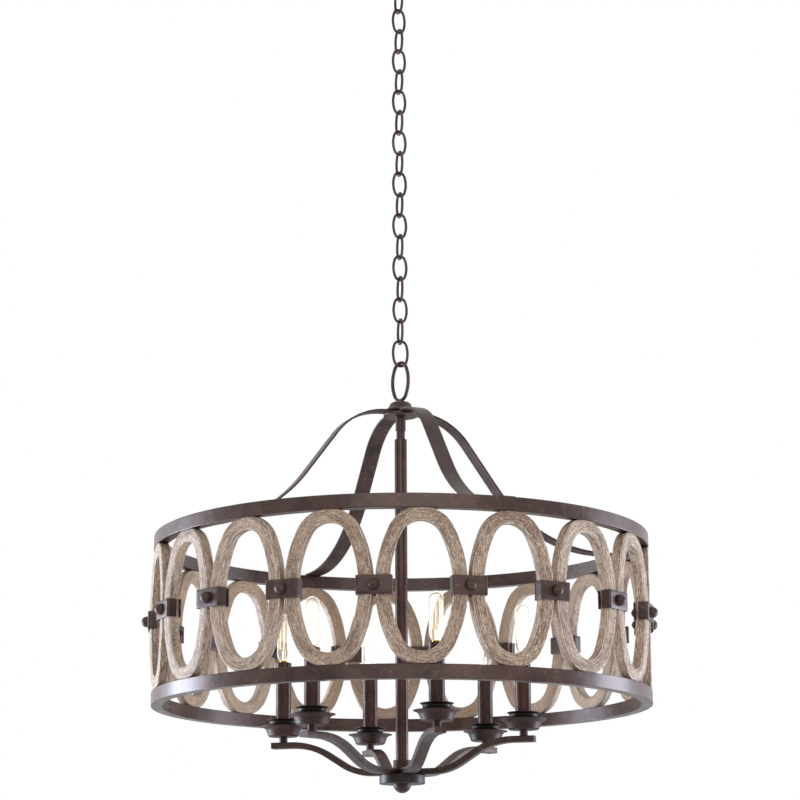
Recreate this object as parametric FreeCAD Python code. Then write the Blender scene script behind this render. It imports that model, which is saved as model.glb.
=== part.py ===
import FreeCAD
import Part
import math
import os

Vec = FreeCAD.Vector
centre = Vec(0, 0, 0)
up = Vec(0, 0, 1)

# Millimetres and degrees. The origin is on the ceiling, over the middle of the light, and +Z is up.
# The light hangs towards -Z. Azimuths are measured from the front, -Y, towards the right, +X.

# Fits shared by several pieces
link_gap = 0.3
seat_gap = 0.1
thread_gap = 0.1
cut_overrun = 2.0
tube_thread_diameter = 9.5
tube_thread_bore = 6.4

# Crossbar under the ceiling box, with its slots, and the threaded tube through it
crossbar_length = 106.0
crossbar_width = 19.0
crossbar_thickness = 2.0
crossbar_slot_spacing = 79.4
crossbar_slot_length = 24.0
crossbar_slot_width = 4.8
crossbar_corner = 4.0
ceiling_clearance = 0.4
nipple_nut_flats = 15.0
nipple_nut_height = 3.6

# Canopy, its screw collar and the loop under it
canopy_diameter = 127.0
canopy_depth = 28.0
canopy_wall = 1.2
canopy_outline_shares = (
    (0, 0),
    (1, 0),
    (1, 0.10),
    (0.96, 0.22, -0.01),
    (0.50, 0.86, -0.065),
    (0.30, 0.93, 0.008),
    (0.22, 1, -0.012),
    (0, 1),
)
collar_diameter = 27.0
collar_height = 6.5
collar_round = 1.6
loop_base_diameter = 15.0
loop_base_height = 10.0
loop_thread_depth = 7.0
canopy_loop_length = 36.0
canopy_loop_width = 31.0
canopy_loop_wire = 5.0
canopy_loop_end_radius = 11.5
loop_weld = 1.9

# Chain: oval links with a butt joint, and a last link with straighter sides
link_count = 18
link_length = 41.0
link_width = 24.4
link_wire = 4.0
link_end_radius = 8.4
link_joint = 0.5
last_link_length = 42.5
last_link_width = 26.4
last_link_end_radius = 9.7
chain_turn_top = 31.0
chain_turn_bottom = 18.0

# Ring and stud that carry the light
hanging_loop_length = 62.2
hanging_loop_width = 38.8
hanging_loop_wire = 5.2
hanging_loop_end_radius = 13.0
hanging_loop_turn = -47.0
stud_engagement = 9.0

# Top hub: cap, plate, lock nut, coupler and the short neck under it
cap_diameter = 50.0
cap_height = 14.4
cap_outline_shares = (
    (0, 0),
    (1, 0),
    (1, 0.12),
    (0.72, 0.44, 0.03),
    (0.66, 0.62),
    (0.42, 1, -0.05),
    (0, 1),
)
plate_diameter = 50.0
plate_thickness = 4.0
plate_round = 0.9
lock_nut_diameter = 16.4
lock_nut_height = 4.2
coupler_diameter = 14.8
coupler_length = 18.8
coupler_chamfer = 2.0
neck_diameter = 12.6
neck_length = 11.8
neck_spigot = 7.5

# Straps from the top hub to the top ring: an arc, a straight run and a longer arc the other way
strap_count = 4
strap_azimuth = 24.0
strap_width = 24.3
strap_thickness = 3.0
strap_drop = 188.0
strap_shoulder_gap = 0.3
strap_landing_radius = 324.3
strap_straight = 78.0
strap_upper_share = 0.311
strap_end_margin = 3.0

# Rings of the drum
ring_diameter = 711.2
ring_thickness = 16.0
ring_height = 19.0
ring_round = 0.7

# Wooden ovals between the rings
oval_count = 18
oval_azimuth = 4.3
oval_width = 120.4
oval_height = 208.0
oval_frame = 19.2
oval_thickness = 15.0
oval_end_radius = 47.0
oval_round = 2.6
oval_band_height = 203.4

# Countersunk wood screws, through each ring into the top and the foot of each oval
oval_screw_diameter = 4.0
oval_screw_length = 32.0
oval_screw_head_diameter = 8.0
oval_screw_head_height = 2.4

# Clamps where two ovals meet: outer channel, inner plate, bolt and nut
clamp_height = 25.0
clamp_thickness = 2.0
clamp_flange = 14.0
clamp_bend = 1.2
clamp_plate_width = 41.0
bolt_diameter = 6.0
bolt_head_diameter = 16.0
bolt_head_height = 9.6
bolt_head_rim = 1.6
bolt_hole_gap = 0.3
nut_flats = 10.0
nut_height = 5.0
bolt_end_margin = 1.5

# Stem and bottom hub
stem_diameter = 18.0
stem_wall = 1.5
stem_length = 470.5
stem_plug = 14.0
stem_seat = 6.0
hub_diameter = 25.5
hub_height = 21.0
disc_diameter = 64.5
disc_thickness = 12.5
disc_round = 0.8
finial_diameter = 25.6
finial_height = 12.6
finial_stud = 24.0

# Arms of rectangular tube: flat at the hub, an S, and flat under the candle
arm_count = 6
arm_azimuth = 15.6
arm_width = 17.0
arm_thickness = 8.7
arm_wall = 1.4
arm_end_margin = 16.0
arm_rise = 41.6
arm_hub_flat = 32.25
arm_candle_flat = 15.0
arm_straight = 26.0
arm_lower_share = 0.43
arm_mitre_gap = 0.15

# Candle: post, cup, dish, sleeve and socket
candle_radius = 176.0
post_diameter = 11.8
post_height = 8.4
post_foot = 3.2
cup_diameter = 65.0
cup_height = 15.0
cup_wall = 1.8
cup_boss_diameter = 30.0
cup_outline_shares = (
    (0, 0),
    (0.60, 0),
    (0.68, 0.13, -0.016),
    (0.745, 0.50, 0.004),
    (0.96, 0.90, 0.045),
    (1, 0.935),
    (1, 1),
    (0, 1),
)
dish_diameter = 46.0
dish_height = 9.6
dish_wall = 1.1
dish_outline_shares = (
    (0, 0),
    (0.74, 0),
    (0.80, 0.12, -0.014),
    (0.87, 0.66, -0.01),
    (1, 0.90, 0.02),
    (1, 1),
    (0, 1),
)
sleeve_diameter = 22.2
sleeve_wall = 0.9
sleeve_length = 90.0
sleeve_round = 0.4
socket_diameter = 19.4
socket_bore = 13.8
socket_height = 19.0
socket_floor = 3.0
socket_leg_diameter = 13.4
socket_recess = 1.0
contact_height = 1.4
contact_diameter = 6.0
shell_wall = 0.45
shell_height = 14.0

# Bulb: glass tube with a rounded top, a screw base, and the mount inside
bulb_diameter = 20.4
bulb_length = 68.0
bulb_wall = 0.8
bulb_neck_diameter = 12.4
bulb_shoulder = 11.0
bulb_crown = 8.2
base_diameter = 11.9
base_length = 17.0
base_wall = 0.5
base_thread_count = 4
base_thread_depth = 0.55
base_thread_top = 6.0
base_tip_diameter = 5.0
base_tip_height = 2.0
glass_mount_diameter = 5.0
glass_mount_length = 15.0
support_wire = 0.7
support_spread = 3.4
support_length = 53.0


def node(name, *solids):
    """Write one sub-part, of one solid or of several separate ones, to its own file."""
    shape = solids[0] if len(solids) == 1 else Part.makeCompound(list(solids))
    shape.exportStep(os.path.join("parts", name + ".step"))


def moved(shape, x=0.0, y=0.0, z=0.0):
    copy = shape.copy()
    copy.translate(Vec(x, y, z))
    return copy


def turned_about(shape, angle, axis=up, point=centre):
    copy = shape.copy()
    copy.rotate(point, axis, angle)
    return copy


def at_azimuth(shape, azimuth):
    """Bring a piece that was made on the +X side to its azimuth."""
    return turned_about(shape, azimuth - 90.0)


def ring_of(shape, count, azimuth):
    return [at_azimuth(shape, azimuth + 360.0 / count * i) for i in range(count)]


def fused(*shapes):
    return shapes[0].fuse(list(shapes[1:])).removeSplitter().Solids[0]


def outline_face(points):
    """Face in the XZ plane. A third number bows the edge that arrives at that point, to its left."""
    edges = []
    for before, after in zip(points, points[1:] + points[:1]):
        a = Vec(before[0], 0, before[1])
        b = Vec(after[0], 0, after[1])
        if (b - a).Length == 0:
            continue
        if len(after) == 3:
            run = b - a
            left = Vec(-run.z, 0, run.x).normalize()
            middle = (a + b) * 0.5 + left * after[2]
            edges.append(Part.Arc(a, middle, b).toShape())
        else:
            edges.append(Part.LineSegment(a, b).toShape())
    return Part.Face(Part.Wire(edges))


def lathe(points):
    return outline_face(points).revolve(centre, up, 360)


def lathe_shares(shares, radius, height):
    """Turned solid from shares of its radius and height. A bow is a share of the radius, plus is hollow."""
    points = [(s[0] * radius, s[1] * height) + tuple(b * radius for b in s[2:]) for s in shares]
    return lathe(points)


def dome_bow(radius, height):
    """Bow of the arc from the rim of a dome to its top."""
    dome_radius = (radius**2 + height**2) / (2 * height)
    return dome_radius - math.sqrt(dome_radius**2 - (radius**2 + height**2) / 4)


def rod(diameter, low, high):
    return Part.makeCylinder(diameter / 2, high - low, Vec(0, 0, low), up)


def tube(outer, inner, low, high):
    return rod(outer, low, high).cut(rod(inner, low - cut_overrun, high + cut_overrun))


def through(shape, diameter):
    """Bore a hole right through along Z."""
    box = shape.BoundBox
    return shape.cut(rod(diameter, box.ZMin - cut_overrun, box.ZMax + cut_overrun))


def slab(x0, x1, y0, y1, z0, z1):
    return Part.makeBox(x1 - x0, y1 - y0, z1 - z0, Vec(x0, y0, z0))


def hexagon(flats, low, high):
    corner = flats / 2 / math.cos(math.radians(30))
    angles = [math.radians(60 * i) for i in range(7)]
    points = [Vec(corner * math.cos(a), corner * math.sin(a), low) for a in angles]
    return Part.Face(Part.makePolygon(points)).extrude(Vec(0, 0, high - low))


def softened(shape, radius, wanted):
    """Fillet the edges that the test picks."""
    return shape.makeFillet(radius, [e for e in shape.Edges if wanted(e)])


def is_level_circle(edge):
    return edge.Curve.TypeId == "Part::GeomCircle" and abs(edge.Curve.Axis.z) > 0.99


def oval_arcs(half_width, half_height, end_radius):
    """Centre, radius, start and sweep of the four arcs of an oval in the XZ plane, end arcs first."""
    over = half_width**2 + half_height**2 - 2 * half_height * end_radius
    side_radius = over / (2 * (half_width - end_radius))
    side_centre = side_radius - half_width
    end_centre = half_height - end_radius
    tilt = math.degrees(math.atan2(end_centre, side_centre))
    return [
        (Vec(0, 0, end_centre), end_radius, tilt, 180 - 2 * tilt),
        (Vec(0, 0, -end_centre), end_radius, 180 + tilt, 180 - 2 * tilt),
        (Vec(-side_centre, 0, 0), side_radius, -tilt, 2 * tilt),
        (Vec(side_centre, 0, 0), side_radius, 180 - tilt, 2 * tilt),
    ]


def oval_ring(length, width, wire, end_radius):
    """Round wire bent to an oval that stands in the XZ plane."""
    pieces = []
    for middle, radius, start, sweep in oval_arcs((width - wire) / 2, (length - wire) / 2, end_radius):
        facing = Vec(math.cos(math.radians(start)), 0, math.sin(math.radians(start)))
        tangent = Vec(-facing.z, 0, facing.x)
        section = Part.Face(Part.Wire(Part.makeCircle(wire / 2, middle + facing * radius, tangent)))
        pieces.append(section.revolve(middle, Vec(0, -1, 0), sweep))
    return fused(*pieces)


def oval_plate(half_width, half_height, end_radius, depth):
    """Flat solid of oval outline in the XZ plane, centred on it."""
    edges = []
    for middle, radius, start, sweep in oval_arcs(half_width, half_height, end_radius):
        angles = [math.radians(start + sweep * share) for share in (0, 0.5, 1)]
        spots = [middle + Vec(radius * math.cos(a), 0, radius * math.sin(a)) for a in angles]
        edges.append(Part.Arc(*spots).toShape())
    face = Part.Face(Part.Wire(Part.__sortEdges__(edges)))
    return moved(face.extrude(Vec(0, depth, 0)), y=-depth / 2)


def s_strip(inner, outer, straight, first_share, thickness, width, inner_end, outer_end, clear=0.0):
    """Bar in the XZ plane that leaves one level, bends, runs straight and bends back to the other level.

    inner and outer are the centre line's points where the bends begin and end. The two bend radii
    follow from them and from the straight run, first_share is the first one's part of their sum,
    and clear is taken off every face.
    """
    run = outer[0] - inner[0]
    rise = outer[1] - inner[1]
    side = 1 if rise > 0 else -1
    total = (run**2 + rise**2 - straight**2) / (2 * abs(rise))
    low_bend = total * first_share
    high_bend = total - low_bend
    bend = math.atan2(run, total - abs(rise)) - math.atan2(straight, total)

    def edge_points(offset):
        first = low_bend - side * offset
        second = high_bend + side * offset
        start = Vec(inner[0], 0, inner[1] + offset)
        hub = start + Vec(0, 0, side * first)
        half = hub + Vec(first * math.sin(bend / 2), 0, -side * first * math.cos(bend / 2))
        turn = hub + Vec(first * math.sin(bend), 0, -side * first * math.cos(bend))
        end = Vec(outer[0], 0, outer[1] + offset)
        far = end - Vec(0, 0, side * second)
        back = far + Vec(-second * math.sin(bend), 0, side * second * math.cos(bend))
        late = far + Vec(-second * math.sin(bend / 2), 0, side * second * math.cos(bend / 2))
        return start, half, turn, back, late, end

    offset = thickness / 2 - clear
    a = edge_points(offset)
    b = edge_points(-offset)
    x0 = inner_end + clear
    x1 = outer_end - clear
    corners = [Vec(x0, 0, a[0].z), Vec(x1, 0, a[5].z), Vec(x1, 0, b[5].z), Vec(x0, 0, b[0].z)]
    edges = [
        Part.LineSegment(corners[0], a[0]),
        Part.Arc(a[0], a[1], a[2]),
        Part.LineSegment(a[2], a[3]),
        Part.Arc(a[3], a[4], a[5]),
        Part.LineSegment(a[5], corners[1]),
        Part.LineSegment(corners[1], corners[2]),
        Part.LineSegment(corners[2], b[5]),
        Part.Arc(b[5], b[4], b[3]),
        Part.LineSegment(b[3], b[2]),
        Part.Arc(b[2], b[1], b[0]),
        Part.LineSegment(b[0], corners[3]),
        Part.LineSegment(corners[3], corners[0]),
    ]
    face = Part.Face(Part.Wire([e.toShape() for e in edges]))
    depth = width - 2 * clear
    return moved(face.extrude(Vec(0, depth, 0)), y=-depth / 2)


# Levels, from the ceiling down
canopy_floor = -canopy_depth
canopy_loop_top = canopy_floor - seat_gap - loop_base_height + loop_weld
canopy_loop_bottom = canopy_loop_top - canopy_loop_length


def link_sizes(number):
    if number == link_count:
        return last_link_length, last_link_width, last_link_end_radius
    return link_length, link_width, link_end_radius


def link_turn(number):
    """Direction of a link's plane from +X. Neighbours stand square, and the chain has a slow twist."""
    twist = chain_turn_top + (chain_turn_bottom - chain_turn_top) * (number - 1) / (link_count - 1)
    return twist + 90.0 * (number % 2)


def link_levels():
    """Middle height of each link, and the height of the last link's lowest wire."""
    levels = []
    seat = canopy_loop_bottom + canopy_loop_wire
    for number in range(1, link_count + 1):
        length = link_sizes(number)[0]
        top = seat + link_gap + link_wire
        levels.append(top - length / 2)
        seat = top - length + link_wire
    return levels, seat


link_heights, chain_seat = link_levels()
hanging_loop_top = chain_seat + link_gap + hanging_loop_wire
hanging_loop_bottom = hanging_loop_top - hanging_loop_length
cap_top = hanging_loop_bottom - link_gap
cap_floor = cap_top - cap_height
strap_hub_level = cap_floor - strap_thickness / 2
plate_top = cap_floor - strap_thickness
plate_floor = plate_top - plate_thickness
nut_floor = plate_floor - lock_nut_height
coupler_floor = nut_floor - coupler_length
stem_top = coupler_floor - neck_length
stem_floor = stem_top - stem_length
hub_top = stem_floor + stem_seat
hub_floor = hub_top - hub_height
disc_floor = hub_floor - disc_thickness
ring_top_level = strap_hub_level - strap_drop - strap_thickness / 2
band_top = ring_top_level - ring_height
band_floor = band_top - oval_band_height
band_middle = (band_top + band_floor) / 2
arm_hub_flat_radius = hub_diameter / 2 + arm_hub_flat
arm_candle_flat_radius = candle_radius - arm_candle_flat
arm_reach = candle_radius + arm_end_margin
arm_hub_level = hub_floor + arm_thickness / 2
arm_candle_level = arm_hub_level + arm_rise
post_floor = arm_candle_level + arm_thickness / 2
cup_floor = post_floor + post_height
cup_top = cup_floor + cup_height
dish_floor = cup_top
sleeve_floor = dish_floor + dish_wall
sleeve_top = sleeve_floor + sleeve_length
socket_top = sleeve_top - socket_recess
socket_bottom = socket_top - socket_height
base_floor = socket_bottom + socket_floor + contact_height
bulb_floor = base_floor + base_tip_height + base_length
socket_leg_engagement = (socket_bottom - socket_floor - sleeve_floor) / 3
thread_bore = tube_thread_diameter + 2 * thread_gap


def make_ceiling_fitting():
    half_length = crossbar_length / 2
    half_width = crossbar_width / 2
    bar = slab(-half_length, half_length, -half_width, half_width, -crossbar_thickness, 0)
    bar = softened(bar, crossbar_corner, lambda e: abs(e.tangentAt(e.FirstParameter).z) > 0.99)
    reach = (crossbar_slot_length - crossbar_slot_width) / 2
    half = crossbar_slot_width / 2
    low = -crossbar_thickness - cut_overrun
    for side in (-1, 1):
        middle = side * crossbar_slot_spacing / 2
        for end in (-1, 1):
            bar = bar.cut(moved(rod(crossbar_slot_width, low, cut_overrun), x=middle + end * reach))
        bar = bar.cut(slab(middle - reach, middle + reach, -half, half, low, cut_overrun))
    bar = through(bar, thread_bore)
    node("crossbar", bar)

    # The tube ends in the bar and, below, inside the loop's base. A nut locks it under the bar.
    tube_low = canopy_floor - seat_gap - loop_thread_depth
    nipple = tube(tube_thread_diameter, tube_thread_bore, tube_low, -ceiling_clearance)
    nut = through(hexagon(nipple_nut_flats, -nipple_nut_height, 0), thread_bore)
    node("ceiling_nipple", nipple, moved(nut, z=-crossbar_thickness))

    # The bowl is drawn rim down from z = 0 and then turned over.
    radius = canopy_diameter / 2
    bowl = lathe_shares(canopy_outline_shares, radius, canopy_depth)
    inside = lathe_shares(canopy_outline_shares, radius - canopy_wall, canopy_depth - canopy_wall)
    mouth = rod(canopy_diameter - 2 * canopy_wall, -cut_overrun, 0)
    bowl = through(bowl.cut(inside).cut(mouth), thread_bore)
    node("canopy", turned_about(bowl, 180, Vec(1, 0, 0)))

    base = rod(loop_base_diameter, canopy_floor - seat_gap - loop_base_height, canopy_floor - seat_gap)
    ring = oval_ring(canopy_loop_length, canopy_loop_width, canopy_loop_wire, canopy_loop_end_radius)
    ring = turned_about(ring, chain_turn_top)
    loop = fused(base, moved(ring, z=canopy_loop_top - canopy_loop_length / 2))
    hole = rod(thread_bore, canopy_floor - seat_gap - loop_thread_depth - thread_gap, canopy_floor)
    node("canopy_loop", loop.cut(hole))

    collar = rod(collar_diameter, canopy_floor - collar_height, canopy_floor)
    collar = softened(collar, collar_round, is_level_circle)
    node("canopy_collar", through(collar, loop_base_diameter + 2 * thread_gap))


def make_chain():
    for number in range(1, link_count + 1):
        length, width, end_radius = link_sizes(number)
        link = oval_ring(length, width, link_wire, end_radius)
        inner = width / 2 - link_wire - cut_overrun
        joint = slab(inner, width / 2 + cut_overrun, -link_wire, link_wire, -link_joint / 2, link_joint / 2)
        link = turned_about(link.cut(joint), link_turn(number))
        node(f"chain_link_{number:02d}", moved(link, z=link_heights[number - 1]))


def make_top_hub():
    ring = oval_ring(hanging_loop_length, hanging_loop_width, hanging_loop_wire, hanging_loop_end_radius)
    ring = moved(turned_about(ring, hanging_loop_turn), z=hanging_loop_top - hanging_loop_length / 2)
    stud_top = hanging_loop_bottom + hanging_loop_wire / 2
    stud = rod(tube_thread_diameter, nut_floor - stud_engagement, stud_top)
    node("hanging_loop", fused(ring, stud))

    cap = moved(lathe_shares(cap_outline_shares, cap_diameter / 2, cap_height), z=cap_floor)
    node("top_cap", through(cap, thread_bore))
    plate = softened(rod(plate_diameter, plate_floor, plate_top), plate_round, is_level_circle)
    node("hub_plate", through(plate, thread_bore))
    node("lock_nut", tube(lock_nut_diameter, thread_bore, nut_floor, plate_floor))

    r = coupler_diameter / 2
    length = coupler_length
    coupler = lathe([(0, 0), (r - coupler_chamfer, 0), (r, coupler_chamfer), (r, length), (0, length)])
    node("stem_coupler", through(moved(coupler, z=coupler_floor), thread_bore))

    neck = fused(
        rod(neck_diameter, stem_top, coupler_floor),
        rod(tube_thread_diameter, stem_top - neck_spigot, coupler_floor + neck_spigot),
    )
    node("stem_neck", through(neck, tube_thread_bore))


def make_straps():
    strap = s_strip(
        (plate_diameter / 2 + strap_shoulder_gap, strap_hub_level),
        (strap_landing_radius, strap_hub_level - strap_drop),
        strap_straight,
        strap_upper_share,
        strap_thickness,
        strap_width,
        strap_width / 2 + seat_gap,
        ring_diameter / 2 - strap_end_margin,
    )
    node("straps", *ring_of(strap, strap_count, strap_azimuth))


# Ovals are flat and stand tangent to the drum, their middle plane halfway through the ring's thickness.
oval_pitch = 360.0 / oval_count
oval_plane = ring_diameter / 2 - ring_thickness / 2
joint_lean = math.radians(oval_pitch / 2)
outer_face = oval_plane + oval_thickness / 2
inner_face = oval_plane - oval_thickness / 2


def in_joint(normal, across):
    """Distance out and distance aside of a point of an oval, seen from the joint beside the oval."""
    along = normal * math.cos(joint_lean) + across * math.sin(joint_lean)
    beside = normal * math.sin(joint_lean) - across * math.cos(joint_lean)
    return along, beside


# The opening's side bulges into the frame by this much less at the clamp's ends than at its middle.
opening_half = oval_width / 2 - oval_frame
opening_arcs = oval_arcs(opening_half, oval_height / 2 - oval_frame, oval_end_radius - oval_frame)
opening_side_radius = opening_arcs[2][1]
opening_bulge = opening_side_radius - math.sqrt(opening_side_radius**2 - (clamp_height / 2) ** 2)
frame_edge = opening_half - opening_bulge
clamp_outer_seat = in_joint(outer_face, oval_width / 2 - oval_round)[0] + seat_gap
clamp_inside = in_joint(outer_face, frame_edge)[1] + seat_gap
clamp_inner_seat = in_joint(inner_face, frame_edge + oval_round)[0] - seat_gap


def oval_screws(gap, above):
    """The screws of the oval on the +X side, one through each ring, with room round them if asked."""
    shank = oval_screw_diameter / 2 + gap
    head = oval_screw_head_diameter / 2 + gap
    low = -oval_screw_length - gap
    neck = -oval_screw_head_height
    screw = lathe([(0, above), (0, low), (shank, low), (shank, neck), (head, 0), (head, above)])
    upper = moved(screw, x=oval_plane, z=ring_top_level - seat_gap)
    lower = turned_about(screw, 180, Vec(1, 0, 0))
    return upper, moved(lower, x=oval_plane, z=band_floor - ring_height + seat_gap)


def make_rings():
    ring = tube(ring_diameter, ring_diameter - 2 * ring_thickness, -ring_height, 0)
    ring = softened(ring, ring_round, is_level_circle)
    upper, lower = oval_screws(thread_gap, cut_overrun)
    ring_top = moved(ring, z=ring_top_level).cut(ring_of(upper, oval_count, oval_azimuth))
    ring_bottom = moved(ring, z=band_floor).cut(ring_of(lower, oval_count, oval_azimuth))
    node("ring_top", ring_top.Solids[0])
    node("ring_bottom", ring_bottom.Solids[0])


def bolt_way(gap):
    """Cylinder along the bolt, from inside the drum to outside it."""
    start = Vec(oval_plane / 2, 0, band_middle)
    return Part.makeCylinder(bolt_diameter / 2 + gap, ring_diameter / 2, start, Vec(1, 0, 0))


def make_ovals():
    half_width = oval_width / 2
    half_height = oval_height / 2
    outer = oval_plate(half_width, half_height, oval_end_radius, oval_thickness)
    deep = oval_thickness + cut_overrun
    hole = oval_plate(opening_half, half_height - oval_frame, oval_end_radius - oval_frame, deep)
    oval = outer.cut(hole)
    oval = softened(oval, oval_round, lambda e: abs(abs(e.CenterOfMass.y) - oval_thickness / 2) < seat_gap)
    half_band = oval_band_height / 2
    oval = oval.common(slab(-oval_width, oval_width, -oval_thickness, oval_thickness, -half_band, half_band))
    oval = moved(turned_about(oval, 90), x=oval_plane, z=band_middle)
    # A half-round way for the bolt runs down each side, where the next oval stands.
    way = bolt_way(bolt_hole_gap)
    for side in (-1, 1):
        oval = oval.cut(turned_about(way, side * oval_pitch / 2))
    oval = oval.cut(list(oval_screws(thread_gap, cut_overrun)))
    node("wood_ovals", *ring_of(oval.Solids[0], oval_count, oval_azimuth))
    screws = [s for screw in oval_screws(0, 0) for s in ring_of(screw, oval_count, oval_azimuth)]
    node("oval_screws", *screws)


def make_clamps():
    joint_azimuth = oval_azimuth - oval_pitch / 2
    low = band_middle - clamp_height / 2
    high = band_middle + clamp_height / 2
    wide = clamp_inside + clamp_thickness
    front = clamp_outer_seat + clamp_thickness
    back = front - clamp_flange
    channel = slab(back, front, -wide, wide, low, high)
    channel = softened(channel, clamp_bend, lambda e: e.CenterOfMass.x > front - seat_gap)
    inside = slab(back - cut_overrun, clamp_outer_seat, -clamp_inside, clamp_inside, low, high)
    channel = channel.cut(inside)
    hole = bolt_way(thread_gap)
    node("clamp_channels", *ring_of(channel.cut(hole), oval_count, joint_azimuth))

    inner = clamp_inner_seat - clamp_thickness
    half_plate = clamp_plate_width / 2
    plate = slab(inner, clamp_inner_seat, -half_plate, half_plate, low, high)
    node("clamp_plates", *ring_of(plate.cut(hole), oval_count, joint_azimuth))

    # Bolt along +X: the shank, and a domed head on the channel.
    r = bolt_head_diameter / 2
    crown = (0, bolt_head_height, -dome_bow(r, bolt_head_height - bolt_head_rim))
    head = lathe([(0, 0), (r, 0), (r, bolt_head_rim), crown])
    tail = inner - nut_height - bolt_end_margin - front
    bolt = fused(head, rod(bolt_diameter, tail, bolt_head_height / 2))
    bolt = moved(turned_about(bolt, 90, Vec(0, 1, 0)), x=front, z=band_middle)
    nut = through(hexagon(nut_flats, 0, nut_height), bolt_diameter + 2 * thread_gap)
    nut = moved(turned_about(nut, -90, Vec(0, 1, 0)), x=inner, z=band_middle)
    fasteners = [s for piece in (bolt, nut) for s in ring_of(piece, oval_count, joint_azimuth)]
    node("clamp_bolts", *fasteners)


def make_stem_and_bottom_hub():
    stem = rod(stem_diameter, stem_floor, stem_top)
    stem = stem.cut(rod(stem_diameter - 2 * stem_wall, stem_floor - cut_overrun, stem_top - stem_plug))
    node("stem", through(stem, thread_bore))

    hub = rod(hub_diameter, hub_floor, hub_top)
    hub = hub.cut(rod(stem_diameter + 2 * seat_gap, stem_floor, hub_top + cut_overrun))
    node("hub_body", through(hub, thread_bore))
    disc = softened(rod(disc_diameter, disc_floor, hub_floor), disc_round, is_level_circle)
    node("hub_disc", through(disc, thread_bore))

    r = finial_diameter / 2
    ball = lathe([(0, 0), (0, -finial_height), (r, 0, -dome_bow(r, finial_height))])
    stud = rod(tube_thread_diameter, disc_floor - finial_height / 2, disc_floor + finial_stud)
    node("finial", fused(moved(ball, z=disc_floor), stud))


def make_arms():
    def bar(clear):
        return s_strip(
            (arm_hub_flat_radius, arm_hub_level),
            (arm_candle_flat_radius, arm_candle_level),
            arm_straight,
            arm_lower_share,
            arm_thickness,
            arm_width,
            hub_diameter / 2 + seat_gap,
            arm_reach,
            clear,
        )

    solid = bar(0.0)
    arm = solid.cut(bar(arm_wall))
    # The inner ends are mitred, so that six of them meet round the hub.
    reach = 2 * disc_diameter
    side = reach * math.tan(math.radians(180.0 / arm_count))
    low = arm_hub_level - arm_thickness
    tip = Vec(arm_mitre_gap, 0, low)
    outline = Part.makePolygon([tip, Vec(reach, -side, low), Vec(reach, side, low), tip])
    wedge = Part.Face(outline).extrude(Vec(0, 0, 2 * arm_thickness))
    near = slab(0, disc_diameter / 2, -arm_width, arm_width, low, low + 2 * arm_thickness)
    arm = arm.cut(near.cut(wedge))
    arm = arm.cut(moved(rod(thread_bore, arm_candle_level, post_floor + cut_overrun), x=candle_radius))
    node("arms", *ring_of(arm.Solids[0], arm_count, arm_azimuth))


def make_candles():
    def all_six(name, *shapes):
        solids = [moved(s, x=candle_radius) for s in shapes]
        node(name, *[s for solid in solids for s in ring_of(solid, arm_count, arm_azimuth)])

    # The post's collar stands on the arm; its threaded tube goes down into the arm and up into the socket.
    tube_top = sleeve_floor + socket_leg_engagement
    thread = rod(tube_thread_diameter, post_floor - post_foot, tube_top)
    post = fused(rod(post_diameter, post_floor, cup_floor), thread)
    all_six("arm_posts", through(post, tube_thread_bore))

    cup = lathe_shares(cup_outline_shares, cup_diameter / 2, cup_height)
    hollow = lathe_shares(cup_outline_shares, cup_diameter / 2 - cup_wall, cup_height)
    cup = cup.cut(moved(hollow, z=cup_wall)).fuse(rod(cup_boss_diameter, 0, cup_height)).removeSplitter()
    all_six("candle_cups", through(moved(cup, z=cup_floor), thread_bore).Solids[0])

    dish = lathe_shares(dish_outline_shares, dish_diameter / 2, dish_height)
    hollow = lathe_shares(dish_outline_shares, dish_diameter / 2 - dish_wall, dish_height)
    dish = dish.cut(moved(hollow, z=dish_wall))
    all_six("candle_dishes", through(moved(dish, z=dish_floor), thread_bore).Solids[0])

    sleeve = tube(sleeve_diameter, sleeve_diameter - 2 * sleeve_wall, sleeve_floor, sleeve_top)
    mouth_level = sleeve_top - seat_gap
    sleeve = softened(sleeve, sleeve_round, lambda e: is_level_circle(e) and e.CenterOfMass.z > mouth_level)
    all_six("candle_sleeves", sleeve)

    leg = rod(socket_leg_diameter, sleeve_floor, socket_top)
    socket = fused(rod(socket_diameter, socket_bottom, socket_top), leg)
    socket = socket.cut(rod(socket_bore, socket_bottom + socket_floor, socket_top + cut_overrun))
    socket = socket.cut(rod(thread_bore, sleeve_floor - cut_overrun, socket_bottom - socket_floor))
    all_six("sockets", socket)

    shell_outer = socket_bore - 2 * seat_gap
    seat = socket_bottom + socket_floor
    shell = tube(shell_outer, shell_outer - 2 * shell_wall, seat, seat + shell_height)
    all_six("socket_shells", shell, rod(contact_diameter, seat, seat + contact_height - seat_gap))


def bulb_glass():
    """Glass tube from its narrow neck, over the shoulder, up to the rounded top, open at the neck."""

    def envelope(wall, low):
        neck = bulb_neck_diameter / 2 - wall
        body = bulb_diameter / 2 - wall
        top = bulb_length - wall
        shoulder = (body, bulb_shoulder, -(body - neck) / 4)
        crown = (0, top, -dome_bow(body, bulb_crown))
        return lathe([(0, low), (neck, low), (neck, 0), shoulder, (body, top - bulb_crown), crown])

    return envelope(0, 0).cut(envelope(bulb_wall, -cut_overrun))


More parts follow.
